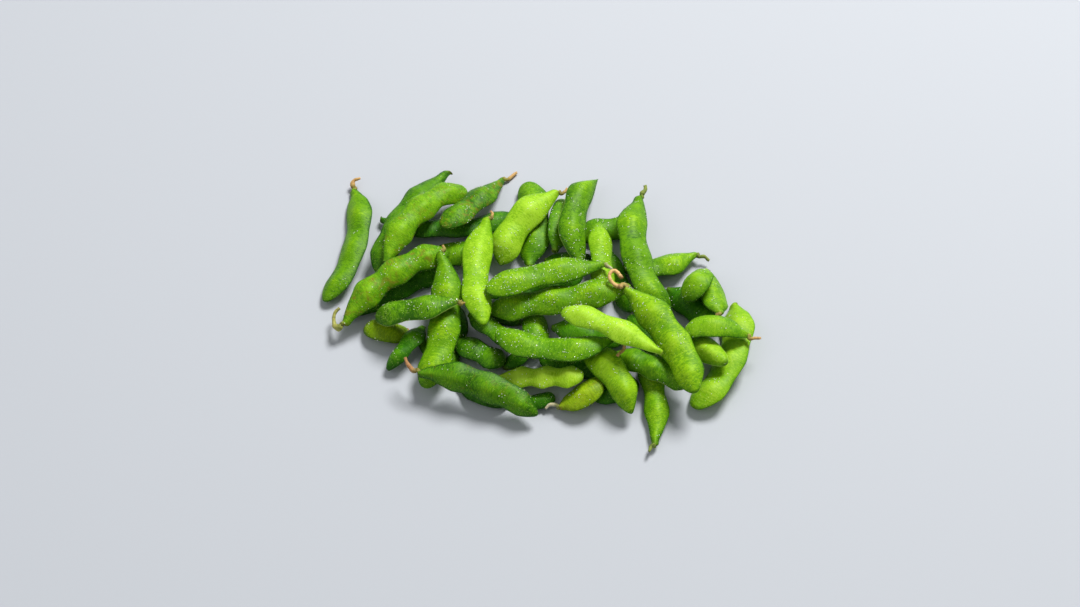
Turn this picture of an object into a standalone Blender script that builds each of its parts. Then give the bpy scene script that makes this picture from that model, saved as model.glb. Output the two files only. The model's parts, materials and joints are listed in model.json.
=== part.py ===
"""Edamame pod bundle: a loose heap of soybean pods, some with their dried stalks.

Units are metres and +Z is up. Each pod is one closed body, made from a UV sphere
whose rings are spread along a bent spine. The pods are laid down one after another,
bottom layer first: each is let down at its own place until it touches the table or
the pods below it, and tips along its length until it lies as low as it can.
The origin is the middle of the heap's footprint, on the surface that it lies on.
"""

import math
from collections import namedtuple

import bmesh
import bpy
import numpy as np
from mathutils import Matrix, Vector

MM = 0.001

# ---------------------------------------------------------------- driving dimensions, in millimetres
POD_THICKNESS = 0.60        # thickness over a bean, as a share of the pod's width
WAIST_THICKNESS = 0.64      # thickness between two beans, as a share of that over a bean
WAIST_WIDTH = 0.88          # width between two beans, as a share of the full width
NECK_RADIUS = 1.25          # the pod's cut-off end, where the stalk sits
MARGIN_PINCH = 0.25         # how far the section thins towards its two seams
START_OF_TIP = 0.77         # station where the pod starts to close towards its beak
END_LEAN = 0.42             # how far the belly stands off the line from neck to beak, as a share of the width
GAP = 0.3                   # clear space kept between one pod and the next
STALK_GAP = 0.3             # clear space between a pod's neck and its stalk

# what a pod gives up, in mm of height, to lie otherwise than its row says
ASIDE_COST = 0.6            # for each mm that it is moved aside
ROLL_COST = 0.02            # for each degree that it is rolled
SAG_COST = 0.15             # for each mm that it sags or arches
PITCH_COST = 0.12           # for each degree that it is tipped away from its own tilt

# ---------------------------------------------------------------- mesh resolution
POD_SEGMENTS = 12           # points around a pod
POD_RINGS = 14              # rings between the two end points of a pod
STALK_RESOLUTION = 1        # bevel resolution of a stalk: 6 sides
STALK_STEP = 1.2            # distance between two rings of a stalk
CELL = 0.5                  # grid step of the height map that pods are let down on
MAP_HALF = (150.0, 120.0)   # half the size of that map

# ---------------------------------------------------------------- colours (linear RGB)
GREENS = {
    "light": (0.30, 0.52, 0.06),
    "fresh": (0.21, 0.42, 0.03),
    "mid": (0.14, 0.33, 0.02),
    "dark": (0.07, 0.20, 0.015),
    "olive": (0.22, 0.33, 0.03),
}
STALK_COLOURS = {
    "tan": (0.45, 0.27, 0.10),
    "green": (0.22, 0.25, 0.05),
    "pale": (0.62, 0.55, 0.38),
}
POD_ROUGHNESS = 0.45
STALK_ROUGHNESS = 0.75

Lie = namedtuple("Lie", "aside roll sag pitch height")
Pod = namedtuple("Pod", "name x y heading tilt length beans bend roll width lean swell tip green")

# One row a pod, in the order in which they are laid. x, y: middle of the line from end to end.
# heading: from stalk to tip, 0 along +X, counter-clockwise. tilt: the tip's rise that the pod
# favours where it is free. bend: how far the pod turns on its way, + to the left. roll: about its
# length, 0 lying flat. lean: which edge the neck and the beak follow, + the left one. swell: share
# of the length that the shoulder takes. tip: 0.4 blunt, 1 pointed. Millimetres and degrees.
# The first eight fill the bottom of the heap and hardly show.
#    name, x, y, heading, tilt, length, beans, bend, roll, width, lean, swell, tip, green
PODS = [
    Pod("pod_47", -2, 8, 15, 0, 46, 3, 12, 0, 12.0, 0.1, 0.26, 0.55, "dark"),
    Pod("pod_48", 50, -24, 120, 0, 34, 2, 12, 0, 12.0, 0.1, 0.26, 0.55, "dark"),
    Pod("pod_49", 16, -38, 165, 0, 34, 2, 12, 0, 12.0, 0.1, 0.26, 0.55, "dark"),
    Pod("pod_50", -1, -55, 15, 0, 16, 1, 12, 0, 8.0, 0.1, 0.26, 0.55, "dark"),
    Pod("pod_51", 14, 24, 0, 0, 24, 1, 12, 0, 10.0, 0.1, 0.26, 0.55, "dark"),
    Pod("pod_52", -39, -13, 105, 0, 20, 1, 12, 0, 9.0, 0.1, 0.26, 0.55, "dark"),
    Pod("pod_53", -19, -10, 165, 0, 22, 1, 12, 0, 8.5, 0.1, 0.26, 0.55, "dark"),
    Pod("pod_54", -11, -32, 45, 0, 16, 1, 12, 0, 8.0, 0.1, 0.26, 0.55, "dark"),
    Pod("pod_01", -96, 33, -98, 0, 71, 3, -44, 8, 13.5, -0.3, 0.20, 0.50, "fresh"),
    Pod("pod_02", -45, 49, 1, 0, 66, 3, 40, 0, 14.5, 0.4, 0.32, 0.50, "dark"),
    Pod("pod_11", -6, 44, 91, 0, 52, 2, 18, 0, 15.0, 0.3, 0.20, 0.45, "mid"),
    Pod("pod_15", 7, 42, 79, 0, 34, 1, -6, 20, 12.5, 0.0, 0.26, 0.60, "mid"),
    Pod("pod_17", 33, 39, 9, 0, 33, 2, -8, 15, 13.0, -0.2, 0.22, 0.50, "mid"),
    Pod("pod_19", 57, 21, -166, 0, 37, 2, 10, 0, 14.5, -0.6, 0.30, 0.60, "fresh"),
    Pod("pod_37", 70, -6, -48, 0, 31, 2, -4, 10, 14.0, -0.2, 0.22, 0.60, "dark"),
    Pod("pod_39", -40, 26, 3, 0, 34, 1, 0, 0, 14.0, 0.0, 0.26, 0.50, "mid"),
    Pod("pod_07", 23, -19, -9, 0, 36, 2, 7, 0, 14.0, 0.0, 0.22, 0.60, "dark"),
    Pod("pod_21", 1, -20, 92, 0, 25, 1, 0, 20, 13.0, 0.0, 0.24, 0.45, "mid"),
    Pod("pod_32", 77, -30, -111, 0, 64, 3, -48, 10, 16.0, -0.3, 0.18, 0.42, "mid"),
    Pod("pod_41", -70, -17, 166, 0, 23, 1, -18, 0, 13.5, -0.2, 0.25, 0.45, "olive"),
    Pod("pod_46", 33, -49, 19, 0, 24, 1, 14, 0, 13.0, 0.2, 0.25, 0.60, "dark"),
    Pod("pod_28", 18, -54, 31, 0, 23, 1, 20, 0, 13.0, 0.2, 0.26, 0.60, "olive"),
    Pod("pod_30", 46, -57, 94, 0, 45, 2, 16, 10, 11.5, 0.3, 0.38, 0.60, "olive"),
    Pod("pod_45", -25, -51, -20, 0, 26, 1, 14, 10, 11.0, 0.2, 0.28, 0.60, "dark"),
    Pod("pod_43", -47, -29, -37, 0, 23, 1, 0, 0, 12.0, 0.0, 0.34, 0.60, "mid"),
    Pod("pod_44", -28, -31, -30, 0, 27, 2, 0, 0, 14.0, 0.0, 0.24, 0.60, "mid"),
    Pod("pod_06", 39, 13, -72, 0, 43, 2, 5, 30, 10.5, 0.0, 0.34, 0.60, "dark"),
    Pod("pod_03", -60, 43, -117, 0, 72, 3, 31, 12, 14.0, 0.0, 0.34, 0.60, "mid"),
    Pod("pod_40", -68, 3, 31, 0, 53, 3, -10, 10, 12.5, -0.2, 0.30, 0.55, "dark"),
    Pod("pod_42", -63, -27, -124, 0, 28, 2, -10, 15, 11.5, -0.2, 0.24, 0.42, "dark"),
    Pod("pod_16", 29, 16, 92, 0, 43, 2, 0, 30, 12.0, 0.0, 0.22, 0.42, "light"),
    Pod("pod_26", -24, -22, -40, 0, 28, 2, 0, -20, 13.0, 0.0, 0.24, 0.60, "mid"),
    Pod("pod_31", 50, -42, -27, 0, 40, 3, 6, 25, 12.0, 0.0, 0.22, 0.80, "mid"),
    Pod("pod_34", 75, -34, -48, 0, 27, 1, -6, 15, 13.5, 0.0, 0.22, 0.45, "mid"),
    Pod("pod_33", 80, -28, 178, 0, 30, 1, 10, 10, 13.5, 0.3, 0.28, 0.60, "mid"),
    Pod("pod_35", 79, 0, 102, 0, 33, 1, 4, 15, 13.5, 0.0, 0.20, 0.50, "fresh"),
    Pod("pod_27", 0, -46, -10, 0, 41, 3, 0, 8, 13.0, 0.0, 0.22, 0.42, "fresh"),
    Pod("pod_23", 9, -7, -174, 0, 67, 3, -3, 8, 15.5, 0.0, 0.20, 0.60, "fresh"),
    Pod("pod_04", -54, 38, 54, 0, 63, 3, -29, 5, 14.0, -0.3, 0.22, 0.42, "light"),
    Pod("pod_38", -69, 4, 39, 0, 62, 3, -23, 5, 14.0, -0.2, 0.26, 0.50, "olive"),
    Pod("pod_10", -5, 37, -126, 0, 49, 2, 28, 0, 15.5, 0.3, 0.32, 0.85, "light"),
    Pod("pod_14", 25, 42, 80, 3, 58, 2, -28, 8, 14.0, -0.7, 0.22, 0.90, "fresh"),
    Pod("pod_18", 54, 23, -82, 0, 72, 3, 43, 0, 15.0, 0.5, 0.26, 0.55, "fresh"),
    Pod("pod_29", 31, -49, -57, -6, 38, 2, -5, 12, 15.0, -0.3, 0.20, 0.60, "fresh"),
    Pod("pod_36", 73, 1, -120, 0, 21, 1, -5, 20, 13.5, 0.0, 0.26, 0.60, "mid"),
    Pod("pod_09", -49, -17, -95, -8, 71, 3, -29, -10, 15.0, -0.2, 0.3, 0.50, "fresh"),
    Pod("pod_05", -33, 54, -124, 6, 53, 2, -11, 18, 14.5, 0.0, 0.42, 0.50, "olive"),
    Pod("pod_12", -57, -13, 180, -6, 41, 2, -10, 5, 14.5, -0.3, 0.30, 0.45, "fresh"),
    Pod("pod_25", 7, -30, 172, 0, 56, 2, -44, 0, 15.5, -0.3, 0.24, 0.50, "mid"),
    Pod("pod_08", -28, 8, -91, 5, 66, 2, 26, 0, 14.2, 0.2, 0.26, 0.50, "light"),
    Pod("pod_20", -28, -56, -19, -4, 58, 3, -24, 20, 13.5, -0.2, 0.3, 0.60, "mid"),
    Pod("pod_24", 32, -31, 151, 0, 51, 2, 0, 5, 13.5, 0.0, 0.34, 0.50, "light"),
    Pod("pod_13", 3, 1, -161, 0, 59, 2, 10, 5, 15.5, 0.2, 0.30, 0.50, "fresh"),
    Pod("pod_22", 54, -33, -62, -4, 63, 3, -20, 5, 16.0, -0.3, 0.28, 0.50, "fresh"),
]

# A stalk runs from its pod's neck, in laying order too. Its points are where it passes, in
# millimetres from the neck along X, Y and Z. It starts as thick as its calyx and thins to its radius.
Stalk = namedtuple("Stalk", "name pod radius calyx colour path")
STALKS = [
    Stalk("stalk_01", "pod_01", 0.7, 1.4, "tan", [(-0.5, 3.7, 2.0), (2.8, 4.8, 2.5)]),
    Stalk(
        "stalk_38", "pod_38", 0.9, 1.3, "tan",
        [(-3.0, -0.5, -2.0), (-4.4, 2.3, -3.0), (-4.7, 5.0, -3.0),
         (-4.2, 7.7, -2.0), (-2.3, 9.8, -1.0)],
    ),
    Stalk("stalk_18", "pod_18", 0.9, 1.2, "green", [(2.2, 3.3, 1.0), (1.9, 6.1, 1.0)]),
    Stalk(
        "stalk_25", "pod_25", 0.8, 1.3, "tan",
        [(3.1, 0.1, -0.5), (4.2, -3.0, -3.0), (0.8, -8.3, -6.0)],
    ),
    Stalk(
        "stalk_20", "pod_20", 0.8, 1.3, "tan",
        [(-2.0, 1.3, 0.0), (-3.7, 2.8, 0.0), (-5.1, 4.8, 0.5), (-5.6, 6.7, 1.0)],
    ),
    Stalk(
        "stalk_22", "pod_22", 0.8, 1.4, "tan",
        [(-2.5, 0.6, 0.0), (-5.1, 1.1, 0.0), (-7.4, 3.8, 1.0), (-7.0, 6.6, 2.0), (-4.7, 7.3, 2.5),
         (-1.9, 3.0, 3.0)],
    ),
]


# ---------------------------------------------------------------- scene helpers
def clear_scene():
    """Removes every object that is in the file when the script starts."""
    for old in list(bpy.data.objects):
        bpy.data.objects.remove(old, do_unlink=True)


def new_collection(name):
    """A collection of that name, linked to the scene."""
    made = bpy.data.collections.new(name)
    bpy.context.scene.collection.children.link(made)
    return made


def finish_material(name, colour, roughness):
    """A Principled material of one colour."""
    material = bpy.data.materials.new(name)
    material.use_nodes = True
    shader = material.node_tree.nodes["Principled BSDF"]
    shader.inputs["Base Color"].default_value = (*colour, 1.0)
    shader.inputs["Roughness"].default_value = roughness
    shader.inputs["Metallic"].default_value = 0.0
    return material


# ---------------------------------------------------------------- the shape of a pod
def ease(value):
    """A smooth step from 0 to 1."""
    clipped = np.clip(value, 0.0, 1.0)
    return clipped * clipped * (3.0 - 2.0 * clipped)


def bean_swell(pod, station):
    """1 over the middle of a bean, 0 between beans and past the first and the last."""
    first = 0.55 * pod.swell
    last = 0.985
    along = np.clip((station - first) / (last - first), 0.0, 1.0)
    return 0.5 - 0.5 * np.cos(2.0 * math.pi * pod.beans * along)


def pod_profile(pod, station):
    """Half width, half thickness and sideways lean of the section at a station (0 neck, 1 beak)."""
    shoulder = ease(station / pod.swell) ** 0.8
    past = np.clip((station - START_OF_TIP) / (1.0 - START_OF_TIP), 0.0, 1.0)
    end = np.clip(1.0 - past ** 2.4, 0.0, 1.0) ** pod.tip
    swell = bean_swell(pod, station)
    half_width = 0.5 * pod.width * (WAIST_WIDTH + (1.0 - WAIST_WIDTH) * swell)
    half_thickness = 0.5 * pod.width * POD_THICKNESS * (WAIST_THICKNESS + (1.0 - WAIST_THICKNESS) * swell)
    half_width = (NECK_RADIUS + (half_width - NECK_RADIUS) * shoulder) * end
    half_thickness = (NECK_RADIUS + (half_thickness - NECK_RADIUS) * shoulder) * end
    off_middle = (1.0 - ease(station / 0.34)) + ease((station - 0.72) / 0.28)
    lean = pod.lean * END_LEAN * pod.width * (off_middle - 1.0)
    return half_width, half_thickness, lean


def pod_surface(pod, station, around, lie, grow=0.0):
    """Points on the pod in its own frame, in mm: X from neck to beak, Z up, as it lies."""
    half_width, half_thickness, lean = pod_profile(pod, station)
    across = np.cos(around) * (half_width + grow) + lean
    thin = MARGIN_PINCH * np.abs(np.cos(around)) ** 3
    up = np.sin(around) * (half_thickness + grow) * (1.0 - thin)
    stretched = station + (2.0 * station - 1.0) * grow / pod.length
    turn = math.radians(pod.bend)
    angle = turn * (stretched - 0.5)
    if turn:
        radius = pod.length / turn
        spine_x = radius * np.sin(angle)
        spine_y = radius * (math.cos(turn / 2.0) - np.cos(angle))
    else:
        spine_x = pod.length * (stretched - 0.5)
        spine_y = 0.0 * stretched
    x = spine_x - np.sin(angle) * across
    y = spine_y + np.cos(angle) * across
    roll = math.radians(pod.roll + lie.roll)
    sag = lie.sag * (1.0 / 3.0 - (2.0 * stretched - 1.0) ** 2)
    turned_y = y * math.cos(roll) - up * math.sin(roll)
    turned_z = y * math.sin(roll) + up * math.cos(roll)
    return np.stack([x, turned_y, turned_z + sag], axis=-1)


def ring_stations(pod):
    """The pod's ring stations, neck first: close together at both ends, on the beans and between them."""
    first = 0.55 * pod.swell
    marks = [0.0, 0.004, 0.35 * pod.swell, 0.72 * pod.swell]
    bean = (0.985 - first) / pod.beans
    inner = []
    for index in range(pod.beans):
        inner.append(first + bean * (index + 0.5))
        if index < pod.beans - 1:
            inner.append(first + bean * (index + 1))
    marks += [mark for mark in inner if mark > 0.80 * pod.swell and mark < 0.86]
    marks += [0.90, 0.955, 0.988, 1.0]
    marks = sorted(marks)
    while len(marks) < POD_RINGS + 2:
        gaps = np.diff(marks)
        widest = int(np.argmax(gaps))
        marks.insert(widest + 1, 0.5 * (marks[widest] + marks[widest + 1]))
    return np.array(marks)


def pod_mesh(pod, lie):
    """The pod's mesh in its own frame: a UV sphere with its rings moved along the spine."""
    stations = ring_stations(pod)
    rings = len(stations) - 1
    shape = bmesh.new()
    bmesh.ops.create_uvsphere(shape, u_segments=POD_SEGMENTS, v_segments=rings, radius=1.0)
    for vert in shape.verts:
        ring = round(math.acos(max(-1.0, min(1.0, vert.co.z))) / math.pi * rings)
        around = math.atan2(vert.co.y, vert.co.x)
        vert.co = Vector(pod_surface(pod, stations[ring], around, lie)) * MM
    if shape.calc_volume(signed=True) < 0.0:
        bmesh.ops.reverse_faces(shape, faces=shape.faces)
    mesh = bpy.data.meshes.new(pod.name)
    shape.to_mesh(mesh)
    shape.free()
    mesh.shade_smooth()
    return mesh


# ---------------------------------------------------------------- laying the pods down
class Heap:
    """How high the heap stands over each cell of the table, in mm."""

    def __init__(self):
        columns = int(2 * MAP_HALF[0] / CELL)
        rows = int(2 * MAP_HALF[1] / CELL)
        self.top = np.zeros((columns, rows))

    def cells(self, points):
        columns = ((points[:, 0] + MAP_HALF[0]) / CELL).astype(int)
        rows = ((points[:, 1] + MAP_HALF[1]) / CELL).astype(int)
        return columns, rows

    def drop(self, points):
        """How far the points are raised so that they just clear the table and the heap."""
        columns, rows = self.cells(points)
        return float(np.max(self.top[columns, rows] - points[:, 2]))

    def add(self, points):
        """The heap now reaches up to these points."""
        columns, rows = self.cells(points)
        np.maximum.at(self.top, (columns, rows), points[:, 2])


def rotation_of(pod, lie):
    """The pod's rotation: tipped so that its beak end rises, then headed."""
    heading = Matrix.Rotation(math.radians(pod.heading), 3, "Z")
    tipped = Matrix.Rotation(-math.radians(lie.pitch), 3, "Y")
    return heading @ tipped


def skin(pod, lie, along, around, grow):
    """Evenly spread points over the pod's surface where it lies, in mm."""
    stations = np.linspace(0.0, 1.0, along)
    angles = np.linspace(0.0, 2.0 * math.pi, around)
    station, angle = np.meshgrid(stations, angles, indexing="ij")
    points = pod_surface(pod, station.ravel(), angle.ravel(), lie, grow)
    return points @ np.array(rotation_of(pod, lie)).T + np.array(place_of(pod, lie))


def place_of(pod, lie):
    """The pod's middle, in mm: moved aside from its row's place, at its height."""
    heading = math.radians(pod.heading)
    return Vector((pod.x - lie.aside * math.sin(heading), pod.y + lie.aside * math.cos(heading), lie.height))


def settle(pod, heap):
    """How the pod lies lowest: tipped, and a little rolled, sagging or moved aside."""
    best = None
    unmoved = np.array(place_of(pod, Lie(0.0, 0.0, 0.0, 0.0, 0.0)))
    for roll in (0.0, -12.0, 12.0):
        for sag in (0.0, -2.0, 2.0, 4.0):
            for pitch in np.arange(-21.0, 21.1, 3.0):
                trial = Lie(0.0, roll, sag, pitch, 0.0)
                points = skin(pod, trial, 44, 20, GAP)
                for aside in (0.0, -1.5, 1.5, -3.0, 3.0):
                    trial = Lie(aside, roll, sag, pitch, 0.0)
                    step = np.array(place_of(pod, trial)) - unmoved
                    height = heap.drop(points + step)
                    cost = height + ASIDE_COST * abs(aside) + ROLL_COST * abs(roll)
                    cost += SAG_COST * abs(sag) + PITCH_COST * abs(pitch - pod.tilt)
                    if best is None or cost < best[0]:
                        best = (cost, trial)
    rough = best[1]
    lowest = None
    for pitch in rough.pitch + np.arange(-2.0, 2.1, 1.0):
        trial = rough._replace(pitch=pitch)
        trial = trial._replace(height=heap.drop(skin(pod, trial, 150, 90, GAP)))
        if lowest is None or trial.height < lowest.height:
            lowest = trial
    return lowest


def lay_pod(pod, lie, heap, collection):
    """One pod object, lying on the heap."""
    heap.add(skin(pod, lie, 150, 90, 0.0))
    made = bpy.data.objects.new(pod.name, pod_mesh(pod, lie))
    made.rotation_mode = "QUATERNION"
    made.rotation_quaternion = rotation_of(pod, lie).to_quaternion()
    made.location = place_of(pod, lie) * MM
    made.data.materials.append(finish_material(pod.name + "_green", GREENS[pod.green], POD_ROUGHNESS))
    collection.objects.link(made)


# ---------------------------------------------------------------- stalks
def smooth_route(corners, step):
    """Points along a smooth curve through the corners, about a step apart."""
    padded = [2 * corners[0] - corners[1], *corners, 2 * corners[-1] - corners[-2]]
    route = [corners[0]]
    for before, start, end, after in zip(padded, padded[1:], padded[2:], padded[3:]):
        count = max(2, round((end - start).length / step))
        for index in range(1, count + 1):
            t = index / count
            linear = 2 * start + (end - before) * t
            square = (2 * before - 5 * start + 4 * end - after) * t * t
            cubic = (3 * start - before - 3 * end + after) * t ** 3
            route.append(0.5 * (linear + square + cubic))
    return route


def clear_height(heap, point, radius):
    """The lowest height for the middle of a round of this radius over a point, in mm."""
    around = np.linspace(0.0, 2.0 * math.pi, 16, endpoint=False)
    highest = 0.0
    for reach in (0.0, 0.5, 1.0):
        ring = np.stack([np.cos(around), np.sin(around), 0.0 * around], axis=-1) * reach * (radius + GAP)
        columns, rows = heap.cells(ring + np.array(point))
        highest = max(highest, float(np.max(heap.top[columns, rows])))
    return highest + radius + GAP


def neck_of(pod, lie):
    """The middle of the pod's cut-off end and the way it points, in mm."""
    rotation = rotation_of(pod, lie)
    ends = []
    for station in (0.0, 0.04):
        sides = pod_surface(pod, np.array([station, station]), np.array([0.0, math.pi]), lie)
        ends.append(rotation @ Vector(sides.mean(axis=0)) + place_of(pod, lie))
    return ends[0], (ends[0] - ends[1]).normalized()


def stalk_route(stalk, pod, lie, heap):
    """The points along a stalk and its radius at each, in mm, raised clear of what it crosses."""
    neck, outward = neck_of(pod, lie)
    start = neck + outward * STALK_GAP
    corners = [start, start + outward * 1.2]
    corners += [neck + Vector(step) for step in stalk.path]
    route = smooth_route(corners, STALK_STEP)
    share = np.linspace(0.0, 1.0, len(route))
    radii = stalk.radius + (stalk.calyx - stalk.radius) * np.exp(-((share - 0.12) / 0.13) ** 2)
    radii[0] = 0.7 * NECK_RADIUS
    needed = [clear_height(heap, point, radius) for point, radius in zip(route, radii)]
    heights = np.maximum([point.z for point in route], needed)
    peaks = [heights[max(0, index - 1) : index + 2].max() for index in range(len(route))]
    for index in range(2, len(route)):
        route[index].z = float(np.mean(peaks[index - 1 : index + 2]))
    return route, radii


def lay_stalk(stalk, pod, lie, heap, collection):
    """One stalk: a tube with closed ends, 0.3 mm off its pod's neck."""
    route, radii = stalk_route(stalk, pod, lie, heap)
    curve = bpy.data.curves.new(stalk.name, "CURVE")
    curve.dimensions = "3D"
    curve.bevel_depth = MM
    curve.bevel_resolution = STALK_RESOLUTION
    curve.use_fill_caps = True
    spline = curve.splines.new("POLY")
    spline.points.add(len(route) - 1)
    for point, place, radius in zip(spline.points, route, radii):
        point.co = (*(place * MM), 1.0)
        point.radius = radius
    made = bpy.data.objects.new(stalk.name, curve)
    finish = finish_material(stalk.name + "_" + stalk.colour, STALK_COLOURS[stalk.colour], STALK_ROUGHNESS)
    made.data.materials.append(finish)
    collection.objects.link(made)
    around = np.linspace(0.0, 2.0 * math.pi, 16, endpoint=False)
    for place, radius in zip(route, radii):
        for reach in (0.0, 0.5, 1.0):
            top = math.sqrt(1.0 - reach * reach)
            ring = np.stack([np.cos(around) * reach, np.sin(around) * reach, 0.0 * around + top], axis=-1)
            heap.add(ring * radius + np.array(place))


# ---------------------------------------------------------------- the whole heap
def centre_on_origin(collection):
    """Moves everything so that the heap stands on Z = 0 with its footprint's middle at the origin."""
    bpy.context.view_layer.update()
    graph = bpy.context.evaluated_depsgraph_get()
    corners = []
    for item in collection.objects:
        mesh = item.evaluated_get(graph).to_mesh()
        corners += [item.matrix_world @ vert.co for vert in mesh.vertices]
        item.evaluated_get(graph).to_mesh_clear()
    low = Vector([min(corner[axis] for corner in corners) for axis in range(3)])
    high = Vector([max(corner[axis] for corner in corners) for axis in range(3)])
    middle = (low + high) / 2.0
    for item in collection.objects:
        item.location -= Vector((middle.x, middle.y, low.z))
    bpy.context.view_layer.update()


def main():
    clear_scene()
    parts = new_collection("edamame_pod_bundle")
    heap = Heap()
    for pod in PODS:
        lie = settle(pod, heap)
        stalks = [stalk for stalk in STALKS if stalk.pod == pod.name]
        for stalk in stalks:
            lay_stalk(stalk, pod, lie, heap, parts)
        lay_pod(pod, lie, heap, parts)
    centre_on_origin(parts)


main()
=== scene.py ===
"""Looks for the edamame pod bundle: skins, stalks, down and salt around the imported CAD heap."""

import json
import math
import random
from collections import deque, namedtuple

import bpy
import numpy as np
from mathutils import Matrix, Vector, noise
from mathutils.bvhtree import BVHTree


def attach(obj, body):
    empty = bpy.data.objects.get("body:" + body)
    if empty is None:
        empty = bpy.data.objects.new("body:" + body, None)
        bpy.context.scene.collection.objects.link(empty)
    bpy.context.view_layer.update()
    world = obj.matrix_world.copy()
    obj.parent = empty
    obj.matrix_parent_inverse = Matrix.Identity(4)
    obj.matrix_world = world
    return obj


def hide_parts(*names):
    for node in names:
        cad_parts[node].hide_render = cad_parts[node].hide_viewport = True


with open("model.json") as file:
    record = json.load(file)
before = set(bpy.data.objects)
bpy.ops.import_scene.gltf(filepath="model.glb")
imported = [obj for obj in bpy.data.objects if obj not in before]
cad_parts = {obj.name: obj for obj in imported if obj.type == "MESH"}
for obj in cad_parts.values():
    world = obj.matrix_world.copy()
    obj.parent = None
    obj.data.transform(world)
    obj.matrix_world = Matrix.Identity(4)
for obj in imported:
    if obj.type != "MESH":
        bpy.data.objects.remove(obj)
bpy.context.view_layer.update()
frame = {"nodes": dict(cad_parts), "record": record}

MM = 0.001
AXIS_Z = np.array([0.0, 0.0, 1.0])
BAKE_MAP = "OFBake"      # the UV map that the colours are baked through

# ---------------------------------------------------------------- how fine the pieces are
CAD_SEGMENTS = 12        # points round a CAD pod's ring
SKIN_RINGS = 112         # rings of a finished pod
SKIN_AROUND = 40         # points round each
SEAM_CROWDING = 0.24     # how much closer those points stand near the two seams
END_CROWDING = 0.38      # how much closer the rings stand near the neck and the beak
STALK_AROUND = 10
STALK_STEP = 0.45        # mm between two rings of a finished stalk

# A CAD ring's height over its width tells how much of a bean lies there, 0 to 1.
CAD_FLATNESS = 0.60
BARE_RATIO = 0.88
SWELL_RATIOS = (0.36, 0.12)

# ---------------------------------------------------------------- relief of the pods, in mm
BEAN_WAIST = 0.64        # thickness between two beans as a share of that over a bean
WAIST_DROP = 0.14        # how much flatter a strongly beaded pod is there
WAIST_NARROWING = 0.15   # and how much narrower
DOME_WIDTH = 0.62        # how far a bean's dome reaches across, as a share of the half width
DOME_SHIFT = 0.10        # how far it may lie off the middle
DOME_CREST = 0.6         # how much narrower it is on a strongly beaded pod
NECK_SHARE = 0.16        # share of the pod over which the relief fades in from its neck
BEAK_SHARE = 0.10        # and over which it fades out to its beak
SEAM_PINCH = 0.25        # how much thinner the pod is at its margins
SEAM_RIDGE = 0.16
RIDGE_SPREAD = 0.16      # half width of the ridge, in radians round the pod
SEAM_HOLLOW = 0.10
HOLLOW_AT = 0.42         # radians from the seam
HOLLOW_SPREAD = 0.20
POINT_REACH = 21.0       # how far back from its beak a pointed pod narrows
POINT_EASE = 1.5
SLOW_WAVES = 0.13        # broad unevenness of the skin
SLOW_SIZE = 9.0
SLOW_SINK = 0.35         # how far it dents in rather than stands out
FINE_WAVES = 0.04        # small wrinkles
FINE_SIZE = 1.7
FULL_GIRTH = 4.0         # half width from which the skin carries its whole relief
NECK_REACH = 2.2         # how far the browned neck reaches
BEAK_REACH = 1.3

# ---------------------------------------------------------------- relief of the stalks, in mm
CLASP = (1.5, 0.6)       # from the pod's end to where its calyx starts and closes
CLASP_LIFT = 0.16        # how far the calyx stands off the pod
LOBES = 5                # of the calyx
LOBE_SWELL = 0.10
LOBE_REACH = 1.4
LOBE_LENGTH = 0.5
EDGES = 4                # of the stalk
EDGE_SWELL = 0.07
EDGE_TWIST = 0.25        # radians a mm
STALK_WOBBLE = 0.14
STALK_FRAY = 0.25        # how far the broken end is frayed
STALK_STOUT = 0.95       # radius as a share of the CAD stalk's
STUB_FRAY = 0.3
STUB_FOOT = 1.0          # a stalk end's radius at the pod
STUB_START = 0.4         # how far outside the pod's end it starts
STUB_CLEARANCE = 0.4     # kept between a stalk end and the table
STUB_SEED = 30           # the CAD stalks have the seeds below it

# ---------------------------------------------------------------- colours
Skin = namedtuple("Skin", "deep mid light pale")
# The light, mid and dark skins are one green at three brightnesses, partly the pods' own difference
# and partly painted light.
SKINS = {
    "light": Skin(
        (0.075, 0.235, 0.002), (0.200, 0.440, 0.006), (0.360, 0.640, 0.028), (0.500, 0.780, 0.085)
    ),
    "fresh": Skin(
        (0.028, 0.125, 0.001), (0.120, 0.315, 0.002), (0.270, 0.520, 0.008), (0.420, 0.680, 0.040)
    ),
    "mid": Skin(
        (0.020, 0.105, 0.001), (0.088, 0.265, 0.002), (0.200, 0.440, 0.006), (0.340, 0.590, 0.028)
    ),
    # painted shade: the dark skin goes on the pods that lie deep in the heap, where shade falls
    "dark": Skin(
        (0.009, 0.066, 0.001), (0.030, 0.155, 0.001), (0.085, 0.285, 0.002), (0.175, 0.410, 0.008)
    ),
    "olive": Skin(
        (0.045, 0.120, 0.001), (0.150, 0.275, 0.002), (0.275, 0.440, 0.007), (0.430, 0.600, 0.030)
    ),
}
BLOTCH_COLOUR = (0.240, 0.150, 0.018)
NECK_COLOUR = (0.270, 0.170, 0.040)
PALE_SEAM = (0.55, 0.66, 0.22)
FOOT_COLOUR = (0.190, 0.300, 0.022)  # a stalk where it is still green
DOWN_COLOURS = ((0.47, 0.70, 0.13), (0.63, 0.82, 0.24))
SALT_COLOURS = ((0.84, 0.88, 0.84), (0.98, 0.99, 0.97))
TABLE_COLOUR = (0.48, 0.51, 0.615, 1.0)

# Where a pod's skin lies between its deepest tone, 0, and its palest, 1, and what moves it.
TONE_BASE = 0.325
# painted highlight: the skin is paler over the bean domes, which catch the light
BEAN_HIGHLIGHT = 0.22
TONE_BROAD = 0.16
TONE_PATCH = 0.07
TONE_GRAIN = 0.07
TONE_DOWN = 0.15
MARGIN_SHADE = 0.26       # painted shade: darker by this towards the seams, where the pod's sides turn from the light
MARGIN_REACH = 3.0       # mm over which that painted shade fades
PALE_FROM = 0.3          # Own.seam from which the seams are paler, not darkened with painted crease shade
RIM = (0.10, 0.75)       # mm from the seam over which its colour fades: the pale suture, on other pods the painted crease shade
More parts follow.
